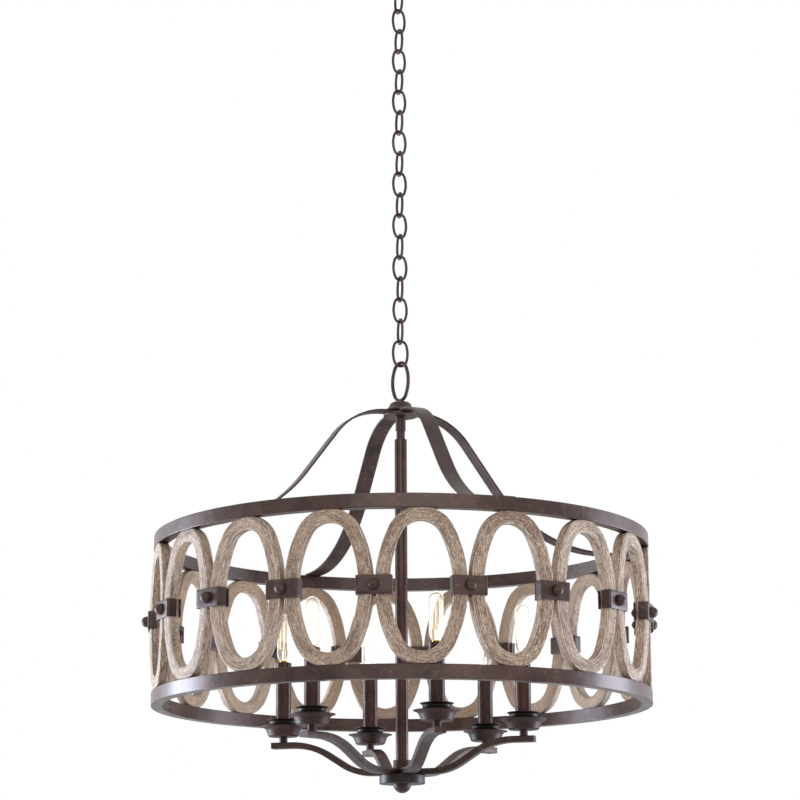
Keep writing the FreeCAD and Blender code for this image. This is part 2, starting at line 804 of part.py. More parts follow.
def bulb_base():
    """Screw shell of the bulb, with ridges for the thread, and the contact at its foot, from z = 0 up."""
    core = base_diameter / 2 - base_thread_depth
    crest = base_diameter / 2
    step = (base_length - base_thread_top) / base_thread_count
    points = [(0, 0), (core - base_thread_depth, 0)]
    for i in range(base_thread_count):
        points.append((core, step * i + step / 4))
        points.append((core, step * (i + 1), -base_thread_depth))
    points.append((core, base_length - base_thread_top / 2))
    points.append((crest, base_length - base_thread_top / 4))
    points += [(crest, base_length), (0, base_length)]
    hollow = rod(2 * (core - base_thread_depth - base_wall), base_wall, base_length + cut_overrun)
    tip = rod(base_tip_diameter, -base_tip_height, 0)
    return lathe(points).cut(hollow), tip


def bulb_mount():
    """Glass stem from the base's floor up into the tube, and the two wires that carry the filament."""
    top = base_length + glass_mount_length
    stem = rod(glass_mount_diameter, base_wall, top)
    wire = rod(support_wire, top, base_length + support_length)
    return stem, moved(wire, x=-support_spread / 2), moved(wire, x=support_spread / 2)


def make_bulbs():
    glass = moved(bulb_glass(), z=bulb_floor)
    base = [moved(s, z=base_floor + base_tip_height) for s in bulb_base() + bulb_mount()]
    for number in range(1, arm_count + 1):
        azimuth = arm_azimuth + 360.0 / arm_count * (number - 1)
        placed = [at_azimuth(moved(s, x=candle_radius), azimuth) for s in [glass] + base]
        node(f"bulb_{number}_glass", placed[0])
        node(f"bulb_{number}_base", *placed[1:])


os.makedirs("parts", exist_ok=True)
make_ceiling_fitting()
make_chain()
make_top_hub()
make_straps()
make_rings()
make_ovals()
make_clamps()
make_stem_and_bottom_hub()
make_arms()
make_candles()
make_bulbs()
print(f"drum top {ring_top_level:.1f}, lowest point {disc_floor - finial_height:.1f}")
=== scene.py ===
import bpy
import bmesh
import math
from mathutils import Matrix, Vector


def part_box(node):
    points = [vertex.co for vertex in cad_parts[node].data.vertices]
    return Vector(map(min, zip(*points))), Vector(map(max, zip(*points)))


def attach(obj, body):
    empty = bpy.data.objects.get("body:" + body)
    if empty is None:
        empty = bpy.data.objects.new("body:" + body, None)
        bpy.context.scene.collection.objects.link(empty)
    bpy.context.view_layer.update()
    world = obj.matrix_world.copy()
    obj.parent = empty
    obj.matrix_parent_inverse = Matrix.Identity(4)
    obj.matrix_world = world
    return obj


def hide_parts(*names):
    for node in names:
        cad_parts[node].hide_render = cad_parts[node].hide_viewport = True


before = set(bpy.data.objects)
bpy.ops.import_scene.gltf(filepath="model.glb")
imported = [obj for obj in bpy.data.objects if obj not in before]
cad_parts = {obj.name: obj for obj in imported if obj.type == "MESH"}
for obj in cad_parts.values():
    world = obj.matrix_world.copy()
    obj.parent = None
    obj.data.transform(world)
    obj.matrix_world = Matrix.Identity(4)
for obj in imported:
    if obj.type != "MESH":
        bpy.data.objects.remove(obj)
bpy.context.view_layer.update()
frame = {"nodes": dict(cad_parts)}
nodes = frame["nodes"]
mm = 0.001


# Node trees. A web is one tree and a wire is one socket in it; sums of wires become Math nodes.
class Wire:
    def __init__(self, web, socket):
        self.web = web
        self.socket = socket

    def sum(self, operation, first, second):
        return self.web.add("ShaderNodeMath", {"operation": operation}, {0: first, 1: second})

    def __add__(self, other):
        return self.sum("ADD", self, other)

    def __sub__(self, other):
        return self.sum("SUBTRACT", self, other)

    def __rsub__(self, other):
        return self.sum("SUBTRACT", other, self)

    def __mul__(self, other):
        return self.sum("MULTIPLY", self, other)

    def __truediv__(self, other):
        return self.sum("DIVIDE", self, other)

    def __rtruediv__(self, other):
        return self.sum("DIVIDE", other, self)

    __radd__ = __add__
    __rmul__ = __mul__

    def clamped(self):
        return self.web.add("ShaderNodeClamp", {}, {0: self})


class Web:
    def __init__(self, tree):
        self.tree = tree

    def add(self, kind, settings=None, inputs=None, output=0):
        node = self.tree.nodes.new(kind)
        for name, value in (settings or {}).items():
            if name == "stops":
                fillRamp(node.color_ramp, value)
            else:
                setattr(node, name, value)
        for key, value in (inputs or {}).items():
            if isinstance(value, Wire):
                self.tree.links.new(value.socket, node.inputs[key])
            else:
                node.inputs[key].default_value = value
        return Wire(self, node.outputs[output]) if node.outputs else None

    def blend(self, factor, first, second):    # colours
        return self.add("ShaderNodeMix", {"data_type": "RGBA"}, {0: factor, 6: first, 7: second}, 2)

    def point(self, x, y, z):
        return self.add("ShaderNodeCombineXYZ", {}, {0: x, 1: y, 2: z})

    def noise(self, place, scale, detail, roughness=0.5):
        values = {"Vector": place, "Scale": scale, "Detail": detail, "Roughness": roughness}
        return self.add("ShaderNodeTexNoise", {}, values)

    def ramp(self, factor, stops):
        return self.add("ShaderNodeValToRGB", {"stops": stops}, {0: factor})


def fillRamp(ramp, stops):
    while len(ramp.elements) < len(stops):
        ramp.elements.new(0.5)
    for element, (place, colour) in zip(ramp.elements, stops):
        element.position = place
        element.color = colour


def paint(red, green, blue):    # 0 to 255, as a picture shows it
    shares = [c / 255 for c in (red, green, blue)]
    return (*[((s + 0.055) / 1.055) ** 2.4 if s > 0.04 else s / 12.92 for s in shares], 1.0)


def grey(value):
    return (value, value, value, 1.0)


# Finishes
def newFinish(name):
    material = bpy.data.materials.new(name)
    material.use_nodes = True
    material.node_tree.nodes.clear()
    return material, Web(material.node_tree)


def closeFinish(web, fixed, varied):
    shader = web.add("ShaderNodeBsdfPrincipled", {}, {**fixed, **varied})
    web.add("ShaderNodeOutputMaterial", {}, {"Surface": shader})


bronzeLook = {
    "ground": paint(50, 33, 30), "wearAndEdgeLighting": paint(80, 58, 52), "fleck": paint(176, 146, 122),
    "mottleScale": 26.0, "wearAndEdgeLightingFrom": 0.35, "wearAndEdgeLightingGain": 2.4, "mottleRoughness": 0.22,
    "fleckScale": 620.0, "fleckFrom": 0.6, "fleckGain": 14.0, "fleckCover": 0.55, "fleckRoughness": 0.2,
    "patchScale": 104.0, "patchGain": 7.0, "skinScale": 1500.0, "skinDepth": 0.0002,
    "metallic": 0.25, "specular": 0.42,
}
# A higher fleckFree leaves more of the metal without flecks
bronzes = {
    "bronze": {"tint": (1.0, 1.0, 1.0), "roughness": 0.42, "fleckFree": 0.5, "relief": 0.35},
    "ringBronze": {"tint": (1.16, 1.12, 1.13), "roughness": 0.3, "fleckFree": 0.55, "relief": 0.35},
    "stemBronze": {"tint": (0.9, 0.59, 0.5), "roughness": 0.28, "fleckFree": 0.62, "relief": 0.08},
    "cupBronze": {"tint": (0.66, 0.44, 0.36), "roughness": 0.45, "fleckFree": 0.6, "relief": 0.35},
    # Painted shade: a near-black copy of the bronze for the dishes, darkened to stand for the shade under
    # them; the hub disc shares it
    "paintedShadeBronze": {"tint": (0.22, 0.12, 0.08), "roughness": 0.42, "fleckFree": 0.7, "relief": 0.35},
}


def bronzeFinish(name):
    look, own = bronzeLook, bronzes[name]
    material, web = newFinish(name)
    place = web.add("ShaderNodeTexCoord", {}, {}, "Object")
    mottle = web.noise(place, look["mottleScale"], 4.0, 0.6)
    fine = web.noise(place, look["fleckScale"], 2.0, 0.5)
    patch = web.noise(place, look["patchScale"], 2.0, 0.5)
    skin = web.noise(place, look["skinScale"], 2.0, 0.6)
    ground, wearAndEdgeLighting = [[c * t for c, t in zip(look[key], own["tint"])] + [1.0] for key in ("ground", "wearAndEdgeLighting")]
    base = web.blend(((mottle - look["wearAndEdgeLightingFrom"]) * look["wearAndEdgeLightingGain"]).clamped(), ground, wearAndEdgeLighting)
    patches = ((patch - own["fleckFree"]) * look["patchGain"]).clamped()
    flecks = ((fine - look["fleckFrom"]) * look["fleckGain"]).clamped() * patches
    colour = web.blend(flecks * look["fleckCover"], base, look["fleck"])
    rough = own["roughness"] + (mottle - 0.5) * look["mottleRoughness"] + flecks * look["fleckRoughness"]
    bump = web.add("ShaderNodeBump", {}, {"Strength": own["relief"], "Distance": look["skinDepth"],
                                          "Height": skin * 0.5 + fine * 0.5})
    closeFinish(web, {"Metallic": look["metallic"], "Specular IOR Level": look["specular"]},
                {"Base Color": colour, "Roughness": rough, "Normal": bump})
    return material


# Wood: layers of noise along and across the grain, each shifted from oval to oval
woodLook = {
    "tones": [(0.12, paint(88, 66, 52)), (0.36, paint(130, 106, 91)), (0.54, paint(169, 147, 128)),
              (0.74, paint(200, 183, 163)), (0.95, paint(232, 221, 204))],
    "inner": paint(176, 148, 122), "innerShare": 0.45,
    "honey": paint(152, 116, 88), "honeyFrom": 0.52, "honeyGain": 3.0, "honeyShare": 0.4,
    # Layers: scale along and across the grain, shift from oval to oval, detail and roughness
    "drift": (9.0, 30.0, 3.7, 2.0, 0.5), "driftReach": 0.003,
    "streak": (85.0, 760.0, 7.3, 3.0, 0.6), "streakWeight": 1.05,
    "speck": (340.0, 1200.0, 5.1, 2.0, 0.6), "speckWeight": 1.35,
    "cloud": (22.0, 90.0, 2.9, 3.0, 0.6), "cloudWeight": 0.75,
    # Painted light on the ovals: a painted highlight on the eased corners and a painted shade line on the
    # flat beside them, both only where the streaks are high
    "rimFrom": 0.72, "grooveAndPaintedShadeFrom": 0.25, "edgeGain": 6.0, "wearAndEdgeLightingFrom": 0.35, "wearAndEdgeLightingGain": 4.0,
    "paintedRimHighlight": 0.34, "paintedShadeLine": 0.42, "roughness": 0.58, "streakRoughness": 0.3,
    "streakRelief": 0.5, "speckRelief": 0.6, "grooveRelief": 0.6,
    "reliefStrength": 0.4, "reliefDepth": 0.0004, "specular": 0.35,
}


def woodFinish():
    look = woodLook
    material, web = newFinish("driftwood")
    grain = web.add("ShaderNodeAttribute", {"attribute_name": "grain"}, {}, "Vector")
    along = web.add("ShaderNodeSeparateXYZ", {}, {0: grain}, 0)
    about = web.add("ShaderNodeSeparateXYZ", {}, {0: grain}, 1)
    copy = web.add("ShaderNodeAttribute", {"attribute_name": "copyNumber"}, {}, "Fac")
    edge = web.add("ShaderNodeAttribute", {"attribute_name": "edge"}, {}, "Fac")
    inside = web.add("ShaderNodeAttribute", {"attribute_name": "inside"}, {}, "Fac")

    def layer(name, across):
        alongScale, acrossScale, shift, detail, roughness = look[name]
        spot = web.point(along * alongScale, across * acrossScale, copy * shift)
        return web.noise(spot, 1.0, detail, roughness)

    wavy = about + (layer("drift", about) - 0.5) * look["driftReach"]
    streak, speck, cloud = [layer(name, wavy) for name in ("streak", "speck", "cloud")]
    # Painted highlight on the eased corners and painted shade line beside them, let through where the streak
    # noise is high; the same band also gets a groove in the bump
    rim = ((edge - look["rimFrom"]) * look["edgeGain"]).clamped()
    grooveAndPaintedShade = ((edge - look["grooveAndPaintedShadeFrom"]) * look["edgeGain"]).clamped()
    grooveAndPaintedShade = grooveAndPaintedShade * ((look["rimFrom"] - edge) * look["edgeGain"]).clamped()
    wearAndEdgeLighting = ((streak - look["wearAndEdgeLightingFrom"]) * look["wearAndEdgeLightingGain"]).clamped()
    tone = 0.5 + (streak - 0.5) * look["streakWeight"] + (speck - 0.5) * look["speckWeight"]
    tone = tone + (cloud - 0.5) * look["cloudWeight"]
    tone = tone + rim * wearAndEdgeLighting * look["paintedRimHighlight"] - grooveAndPaintedShade * wearAndEdgeLighting * look["paintedShadeLine"]
    colour = web.ramp(tone.clamped(), look["tones"])
    honey = ((cloud - look["honeyFrom"]) * look["honeyGain"]).clamped() * look["honeyShare"]
    colour = web.blend(honey, colour, look["honey"])
    colour = web.blend(inside * look["innerShare"], colour, look["inner"])
    height = streak * look["streakRelief"] + speck * look["speckRelief"] - grooveAndPaintedShade * look["grooveRelief"]
    relief = web.add("ShaderNodeBump", {}, {"Strength": look["reliefStrength"],
                                            "Distance": look["reliefDepth"], "Height": height})
    rough = look["roughness"] + (streak - 0.5) * look["streakRoughness"]
    closeFinish(web, {"Specular IOR Level": look["specular"]},
                {"Base Color": colour, "Roughness": rough, "Normal": relief})
    return material


# Plain finishes vary between two colours, and their roughness varies with them
plainLooks = {
    "lampBrass": {"from": paint(196, 158, 78), "to": paint(232, 204, 128), "scale": 220.0, "detail": 3.0,
                  "roughness": 0.24, "spread": 0.16, "fixed": {"Metallic": 1.0}},
    "zincSteel": {"from": paint(150, 152, 154), "to": paint(192, 193, 192), "scale": 160.0, "detail": 3.0,
                  "roughness": 0.34, "spread": 0.2, "fixed": {"Metallic": 0.9}},
    "socketPlastic": {"from": paint(22, 21, 20), "to": paint(38, 36, 34), "scale": 900.0, "detail": 2.0,
                      "roughness": 0.5, "spread": 0.2, "fixed": {"Specular IOR Level": 0.4}},
}


def plainFinish(name):
    look = plainLooks[name]
    material, web = newFinish(name)
    place = web.add("ShaderNodeTexCoord", {}, {}, "Object")
    change = web.noise(place, look["scale"], look["detail"])
    colour = web.blend(change, look["from"], look["to"])
    rough = look["roughness"] + change * look["spread"]
    closeFinish(web, look["fixed"], {"Base Color": colour, "Roughness": rough})
    return material


# The glass has a faint warm glow of its own, a painted glow
glassLook = {"tint": grey(0.97), "paintedGlow": paint(255, 246, 228), "paintedGlowStrength": 0.09, "bending": 1.07,
             "rippleScale": 90.0, "rippleRoughness": 0.03}
glowLook = {"pale": paint(255, 240, 214), "warm": paint(255, 222, 150), "coilScale": 700.0,
            "strength": 1.0, "roughness": 0.6}


def glassFinish():
    look = glassLook
    material, web = newFinish("clearGlass")
    place = web.add("ShaderNodeTexCoord", {}, {}, "Object")
    ripple = web.noise(place, look["rippleScale"], 2.0)
    colour = web.blend(ripple, look["tint"], grey(1.0))
    # Painted glow: the glass emits a faint warm light
    closeFinish(web, {"Transmission Weight": 1.0, "IOR": look["bending"], "Emission Color": look["paintedGlow"],
                      "Emission Strength": look["paintedGlowStrength"]},
                {"Base Color": colour, "Roughness": ripple * look["rippleRoughness"]})
    return material


def glowFinish():
    look = glowLook
    material, web = newFinish("filamentGlow")
    place = web.add("ShaderNodeTexCoord", {}, {}, "Object")
    light = web.blend(web.noise(place, look["coilScale"], 2.0), look["pale"], look["warm"])
    closeFinish(web, {"Emission Strength": look["strength"], "Roughness": look["roughness"]},
                {"Base Color": light, "Emission Color": light})
    return material


bronze = bronzeFinish("bronze")
ringBronze = bronzeFinish("ringBronze")
stemBronze = bronzeFinish("stemBronze")
cupBronze = bronzeFinish("cupBronze")
paintedShadeBronze = bronzeFinish("paintedShadeBronze")
wood = woodFinish()
brass = plainFinish("lampBrass")
steel = plainFinish("zincSteel")
plastic = plainFinish("socketPlastic")
clear = glassFinish()
glow = glowFinish()
print("finishes made")


# Camera and light, at the photograph's viewing angle
photoView = {"aside": -0.0007, "distance": 3.352, "belowRing": 0.5995, "pitch": 13.565, "roll": -0.26,
             "lens": 105.72, "sensor": 36.0, "farthest": 50.0}
studio = {
    "middle": (0, 0, -1.04), "fillStrength": 0.55, "floorLevel": -2.4, "floorReach": 12.0,
    "floorShade": 0.86, "floorRoughness": 0.8, "floorShine": 0.1,
}
softboxes = {
    "leftSoftbox": {"place": (-2.9, 1.0, -1.5), "size": (1.4, 1.9), "power": 155, "tint": (0.74, 0.84, 1.0)},
    "frontSoftbox": {"place": (0.1, -3.2, 0.0), "size": (2.5, 0.8), "power": 20, "tint": (1.0, 1.0, 1.0)},
    "stripSoftbox": {"place": (1.5, -2.9, -0.8), "size": (0.3, 1.8), "power": 7, "tint": (1.0, 0.84, 0.76)},
    "rightSoftbox": {"place": (2.8, 0.7, -1.5), "size": (1.2, 1.9), "power": 95, "tint": (0.74, 0.84, 1.0)},
}


def makeCamera():
    view = photoView
    data = bpy.data.cameras.new("photoCamera")
    data.lens = view["lens"]
    data.sensor_width = view["sensor"]
    data.clip_end = view["farthest"]
    camera = bpy.data.objects.new("photoCamera", data)
    bpy.context.scene.collection.objects.link(camera)
    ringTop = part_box("ring_top")[1].z
    place = Matrix.Translation((view["aside"], -view["distance"], ringTop - view["belowRing"]))
    pitch = Matrix.Rotation(math.radians(90 + view["pitch"]), 4, "X")
    roll = Matrix.Rotation(math.radians(view["roll"]), 4, "Z")
    camera.matrix_world = place @ (pitch @ roll)
    bpy.context.scene.camera = camera


def addSoftbox(name, look):
    data = bpy.data.lights.new(name, "AREA")
    data.shape = "RECTANGLE"
    data.size, data.size_y = look["size"]
    data.energy = look["power"]
    data.color = look["tint"]
    lamp = bpy.data.objects.new(name, data)
    lamp.location = look["place"]
    facing = Vector(studio["middle"]) - Vector(look["place"])
    lamp.rotation_euler = facing.to_track_quat("-Z", "Y").to_euler()
    bpy.context.scene.collection.objects.link(lamp)


def makeBackground():
    # White to the camera, also in reflections and through glass, and weaker as light on the object
    world = bpy.data.worlds.new("studioWorld")
    bpy.context.scene.world = world
    world.use_nodes = True
    world.node_tree.nodes.clear()
    web = Web(world.node_tree)
    seen = web.add("ShaderNodeLightPath", {}, {}, "Is Camera Ray")
    mirrored = web.add("ShaderNodeLightPath", {}, {}, "Is Glossy Ray")
    through = web.add("ShaderNodeLightPath", {}, {}, "Is Transmission Ray")
    shown = (seen + mirrored + through).clamped()
    strength = shown * (1.0 - studio["fillStrength"]) + studio["fillStrength"]
    sky = web.add("ShaderNodeBackground", {}, {"Color": grey(1.0), "Strength": strength})
    web.add("ShaderNodeOutputWorld", {}, {"Surface": sky})


def makeFloor():
    reach = studio["floorReach"]
    mesh = bpy.data.meshes.new("floor")
    corners = [(x * reach, y * reach, studio["floorLevel"]) for x, y in ((-1, -1), (1, -1), (1, 1), (-1, 1))]
    mesh.from_pydata(corners, [], [(0, 1, 2, 3)])
    floor = bpy.data.objects.new("floor", mesh)
    bpy.context.scene.collection.objects.link(floor)
    material, web = newFinish("floorPaint")
    closeFinish(web, {"Base Color": grey(studio["floorShade"]), "Roughness": studio["floorRoughness"],
                      "Specular IOR Level": studio["floorShine"]}, {})
    mesh.materials.append(material)


makeCamera()
for name, look in softboxes.items():
    addSoftbox(name, look)
makeBackground()
makeFloor()
bpy.context.scene.view_settings.view_transform = "Standard"
print("camera and studio made")


# CAD nodes that keep their shape get their finish here
dressing = (
    (bronze, nodes),    # every node first, then the ones that differ
    (ringBronze, ("ring_top", "ring_bottom")),
    (stemBronze, ("stem", "candle_sleeves")),
    (cupBronze, ("candle_cups", "arm_posts", "hub_body", "finial")),
    # The dishes and hub disc take the near-black bronze, which is painted shade
    (paintedShadeBronze, ("candle_dishes", "hub_disc")),
    (steel, ("crossbar", "ceiling_nipple", "oval_screws")),
    (wood, ("wood_ovals",)),
    (plastic, ("sockets",)),
    (brass, ("socket_shells",)),
)
bulbs = {"count": 6, "baseTop": 1.0, "stemTop": 14.9}    # heights over the glass's lowest point


def dress(name, material):
    mesh = nodes[name].data
    mesh.materials.clear()
    mesh.materials.append(material)


def dressBulb(number):
    # The base's node also holds the glass stem and the two wires above it
    dress("bulb_%d_glass" % number, clear)
    dress("bulb_%d_base" % number, brass)
    mesh = nodes["bulb_%d_base" % number].data
    mesh.materials.append(clear)
    mesh.materials.append(steel)
    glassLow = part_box("bulb_%d_glass" % number)[0].z
    for face in mesh.polygons:
        levels = [mesh.vertices[i].co.z - glassLow for i in face.vertices]
        if max(levels) > bulbs["baseTop"] * mm:
            face.material_index = 2 if min(levels) > bulbs["stemTop"] * mm else 1


for material, names in dressing:
    for name in names:
        dress(name, material)
for number in range(1, bulbs["count"] + 1):
    dressBulb(number)
print("CAD nodes dressed")


# Mesh making. A bar is swept along stations, each a point with two directions for its section.
def newPiece(name, mesh, material, body, replaced, sharp):
    mesh.materials.clear()
    mesh.materials.append(material)
    mesh.shade_smooth()
    mesh.set_sharp_from_angle(angle=math.radians(sharp))
    piece = bpy.data.objects.new(name, mesh)
    bpy.context.scene.collection.objects.link(piece)
    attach(piece, body)
    if replaced:
        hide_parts(replaced)


def meshOf(name, points, faces):
    mesh = bpy.data.meshes.new(name)
    mesh.from_pydata([tuple(p) for p in points], [], faces)
    work = bmesh.new()
    work.from_mesh(mesh)
    bmesh.ops.recalc_face_normals(work, faces=work.faces)
    work.to_mesh(mesh)
    work.free()
    return mesh


def arcPoints(centre, radius, start, sweep, steps):
    angles = [math.radians(start + sweep * step / steps) for step in range(steps + 1)]
    return [(centre[0] + radius * math.cos(a), centre[1] + radius * math.sin(a), a) for a in angles]


def easedSection(wide, thick, look):
    # Rounded rectangle, anticlockwise from its lower right corner. The look's parts are the edges up
    # a side, across the top and round a corner.
    up, across, perCorner = look["parts"]
    ease = look["ease"] * mm
    x, y = wide * mm / 2 - ease, thick * mm / 2 - ease
    middles = (((x, -y), -90), ((x, y), 0), ((-x, y), 90), ((-x, -y), 180))
    corners = [arcPoints(middle, ease, start, 90, perCorner) for middle, start in middles]
    points = []
    for number, corner in enumerate(corners):
        points += [(a, b) for a, b, facing in corner]
        lastX, lastY = points[-1]
        nextX, nextY, facing = corners[(number + 1) % 4][0]
        count = across if number % 2 else up
        for share in [step / count for step in range(1, count)]:
            points.append((lastX + (nextX - lastX) * share, lastY + (nextY - lastY) * share))
    return points


def sweptBar(stations, section, closed=False):
    points = [place + u * a + v * b for place, u, v in stations for a, b in section]
    around = len(section)
    count = len(stations)
    faces = []
    for row in range(count if closed else count - 1):
        here, ahead = row * around, (row + 1) % count * around
        for column in range(around):
            side = (column + 1) % around
            faces.append((here + column, ahead + column, ahead + side, here + side))
    if not closed:
        faces.append(tuple(range(around)))
        faces.append(tuple(range((count - 1) * around, count * around)))
    return points, faces


def ovalLine(halfWide, halfHigh, endRadius, step):
    # Four tangent arcs, anticlockwise from the right side's middle: x, z and the outward direction's angle
    over = halfWide ** 2 + halfHigh ** 2 - 2 * halfHigh * endRadius
    sideRadius = over / (2 * (halfWide - endRadius))
    sideCentre = sideRadius - halfWide
    endCentre = halfHigh - endRadius
    tilt = math.degrees(math.atan2(endCentre, sideCentre))
    arcs = (((-sideCentre, 0), sideRadius, 0, tilt),
            ((0, endCentre), endRadius, tilt, 180 - 2 * tilt),
            ((sideCentre, 0), sideRadius, 180 - tilt, 2 * tilt),
            ((0, -endCentre), endRadius, 180 + tilt, 180 - 2 * tilt),
            ((-sideCentre, 0), sideRadius, 360 - tilt, tilt))
    line = []
    for centre, radius, start, sweep in arcs:
        steps = max(2, round(radius * math.radians(sweep) / step))
        line += arcPoints(centre, radius, start, sweep, steps)[:-1]
    return line


# Geometry node trees
def newTree(name, inputs):
    tree = bpy.data.node_groups.new(name, "GeometryNodeTree")
    tree.interface.new_socket(name="Geometry", in_out="INPUT", socket_type="NodeSocketGeometry")
    for label, kind in inputs.items():
        tree.interface.new_socket(name=label, in_out="INPUT", socket_type="NodeSocket" + kind)
    tree.interface.new_socket(name="Geometry", in_out="OUTPUT", socket_type="NodeSocketGeometry")
    web = Web(tree)
    source = web.add("NodeGroupInput").socket.node
    given = {socket.name: Wire(web, socket) for socket in source.outputs if socket.name}
    return tree, web, given


def closeTree(web, geometry, material):
    painted = web.add("GeometryNodeSetMaterial", {}, {"Geometry": geometry, "Material": material})
    web.add("NodeGroupOutput", {}, {"Geometry": painted})


def makeRingTree():
    # Copies round the light's axis, each with its own number and its own shallow dents
    kinds = {"Count": "Int", "First Angle": "Float", "Dent Depth": "Float", "Dent Length": "Float",
             "Dent Width": "Float", "Seed": "Float", "Material": "Material"}
    copyShift = 13.7    # dent lengths from one copy's noise to the next one's
    tree, web, given = newTree("ringOfCopies", kinds)
    spots = web.add("GeometryNodePoints", {}, {"Count": given["Count"]})
    number = web.add("GeometryNodeInputIndex")
    turn = given["First Angle"] + number * (2 * math.pi) / given["Count"]
    copies = web.add("GeometryNodeInstanceOnPoints", {},
                     {"Points": spots, "Instance": given["Geometry"], "Rotation": web.point(0.0, 0.0, turn)})
    marked = web.add("GeometryNodeStoreNamedAttribute", {"data_type": "FLOAT", "domain": "INSTANCE"},
                     {"Geometry": copies, "Name": "copyNumber", "Value": number + given["Seed"]})
    solid = web.add("GeometryNodeRealizeInstances", {}, {"Geometry": marked})
    grain = web.add("GeometryNodeInputNamedAttribute", {"data_type": "FLOAT_VECTOR"}, {"Name": "grain"})
    copy = web.add("GeometryNodeInputNamedAttribute", {"data_type": "FLOAT"}, {"Name": "copyNumber"})
    along = web.add("ShaderNodeSeparateXYZ", {}, {0: grain}, 0) / given["Dent Length"]
    across = web.add("ShaderNodeSeparateXYZ", {}, {0: grain}, 1) / given["Dent Width"]
    side = web.add("ShaderNodeSeparateXYZ", {}, {0: grain}, 2) / given["Dent Width"]
    dents = web.noise(web.point(along + copy * copyShift, across, side), 1.0, 2.0)
    facing = web.add("GeometryNodeInputNormal")
    inward = web.add("ShaderNodeVectorMath", {"operation": "SCALE"},
                     {0: facing, "Scale": dents * given["Dent Depth"] * -1.0})
    dented = web.add("GeometryNodeSetPosition", {}, {"Geometry": solid, "Offset": inward})
    closeTree(web, dented, given["Material"])
    return tree


def makeWireTree():
    # Round wire along a path, turned about Z and moved to its place
    kinds = {"Wire": "Float", "Turn": "Float", "Place": "Vector", "Material": "Material"}
    tree, web, given = newTree("bentWire", kinds)
    line = web.add("GeometryNodeMeshToCurve", {}, {"Mesh": given["Geometry"]})
    section = web.add("GeometryNodeCurvePrimitiveCircle", {"mode": "RADIUS"},
                      {"Resolution": 16, "Radius": given["Wire"] / 2.0})
    rod = web.add("GeometryNodeCurveToMesh", {}, {"Curve": line, "Profile Curve": section, "Fill Caps": True})
    turn = web.point(0.0, 0.0, given["Turn"])
    placed = web.add("GeometryNodeTransform", {},
                     {"Geometry": rod, "Translation": given["Place"], "Rotation": turn})
    solid = web.add("GeometryNodeRealizeInstances", {}, {"Geometry": placed})
    closeTree(web, solid, given["Material"])
    return tree


def grown(name, mesh, tree, values):
    seed = bpy.data.objects.new(name + "Seed", mesh)
    bpy.context.scene.collection.objects.link(seed)
    modifier = seed.modifiers.new(tree.name, "NODES")
    modifier.node_group = tree
    for item in tree.interface.items_tree:
        if item.in_out == "INPUT" and item.name in values:
            modifier[item.identifier] = values[item.name]
    view = bpy.context.evaluated_depsgraph_get()
    shown = seed.evaluated_get(view)
    result = bpy.data.meshes.new_from_object(shown, preserve_all_data_layers=True, depsgraph=view)
    seed.modifiers.clear()
    bpy.data.objects.remove(seed)
    result.name = name
    return result


ringTree = makeRingTree()
wireTree = makeWireTree()
print("node trees made")


def ringPiece(name, mesh, look, seed, material, node, sharp=35.0):
    # The mesh copied round the light, for the light's own body
    depth, length, width = [size * mm for size in look["dents"]]
    copies = grown(name, mesh, ringTree,
                   {"Count": look["count"], "First Angle": math.radians(look["azimuth"] - 90),
                    "Dent Depth": depth, "Dent Length": length, "Dent Width": width,
                    "Seed": seed, "Material": material})
    newPiece(name, copies, material, "fixture", node, sharp)


def wirePiece(name, path, wire, turn, place, material, body, node, sharp):
    line = bpy.data.meshes.new(name + "Path")
    line.from_pydata(path, [(i, i + 1) for i in range(len(path) - 1)], [])
    mesh = grown(name, line, wireTree,
                 {"Wire": wire * mm, "Turn": math.radians(turn), "Place": place, "Material": material})
    newPiece(name, mesh, material, body, node, sharp)


# Chain: one bent link on each body, with its butt joint in one side
chain = {
    "count": 18, "wire": 4.0, "joint": 0.5, "step": 1.6, "turnTop": 31.0, "turnBottom": 18.0,
    "link": {"length": 41.0, "width": 24.4, "endRadius": 8.4},
    "lastLink": {"length": 42.5, "width": 26.4, "endRadius": 9.7},
}


def makeChain():
    look = chain
    gap = look["joint"] / 2 * mm
    for number in range(1, look["count"] + 1):
        shape = look["lastLink"] if number == look["count"] else look["link"]
        halfWide = (shape["width"] - look["wire"]) / 2 * mm
        halfHigh = (shape["length"] - look["wire"]) / 2 * mm
        line = ovalLine(halfWide, halfHigh, shape["endRadius"] * mm, look["step"] * mm)
        path = [(halfWide, 0, gap), *[(x, 0, z) for x, z, facing in line[1:]], (halfWide, 0, -gap)]
        share = (number - 1) / (look["count"] - 1)
        turn = look["turnTop"] + (look["turnBottom"] - look["turnTop"]) * share
        turn += 90 * (number % 2)    # every other link stands across its neighbours
        node = "chain_link_%02d" % number
        low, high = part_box(node)
        wirePiece("chainLink%02d" % number, path, look["wire"], turn, (0.0, 0.0, (low.z + high.z) / 2),
                  bronze, "link_%02d" % number, node, 50.0)


makeChain()
print("chain made")


# Wooden ovals: bent and eased bars whose grain follows the oval, cut flat under and over the rings
ovals = {
    "count": 18, "azimuth": 4.3, "plane": 347.6, "width": 120.4, "height": 208.0, "frame": 19.2,
    "thick": 15.0, "endRadius": 47.0, "bandHeight": 203.4, "step": 4.2,
    "ease": 2.6, "easeSeen": 0.75,    # share of the ease marked as the edge that gets the painted highlight and painted shade line
    "parts": (4, 6, 3), "dents": (0.5, 30.0, 9.0),    # dents: depth, length and width
}
bandMiddle = (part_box("ring_top")[0].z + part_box("ring_bottom")[1].z) / 2


def runningLengths(points):
    lengths = [0.0]
    for before, after in zip(points, points[1:]):
        lengths.append(lengths[-1] + math.dist(before, after))
    return lengths


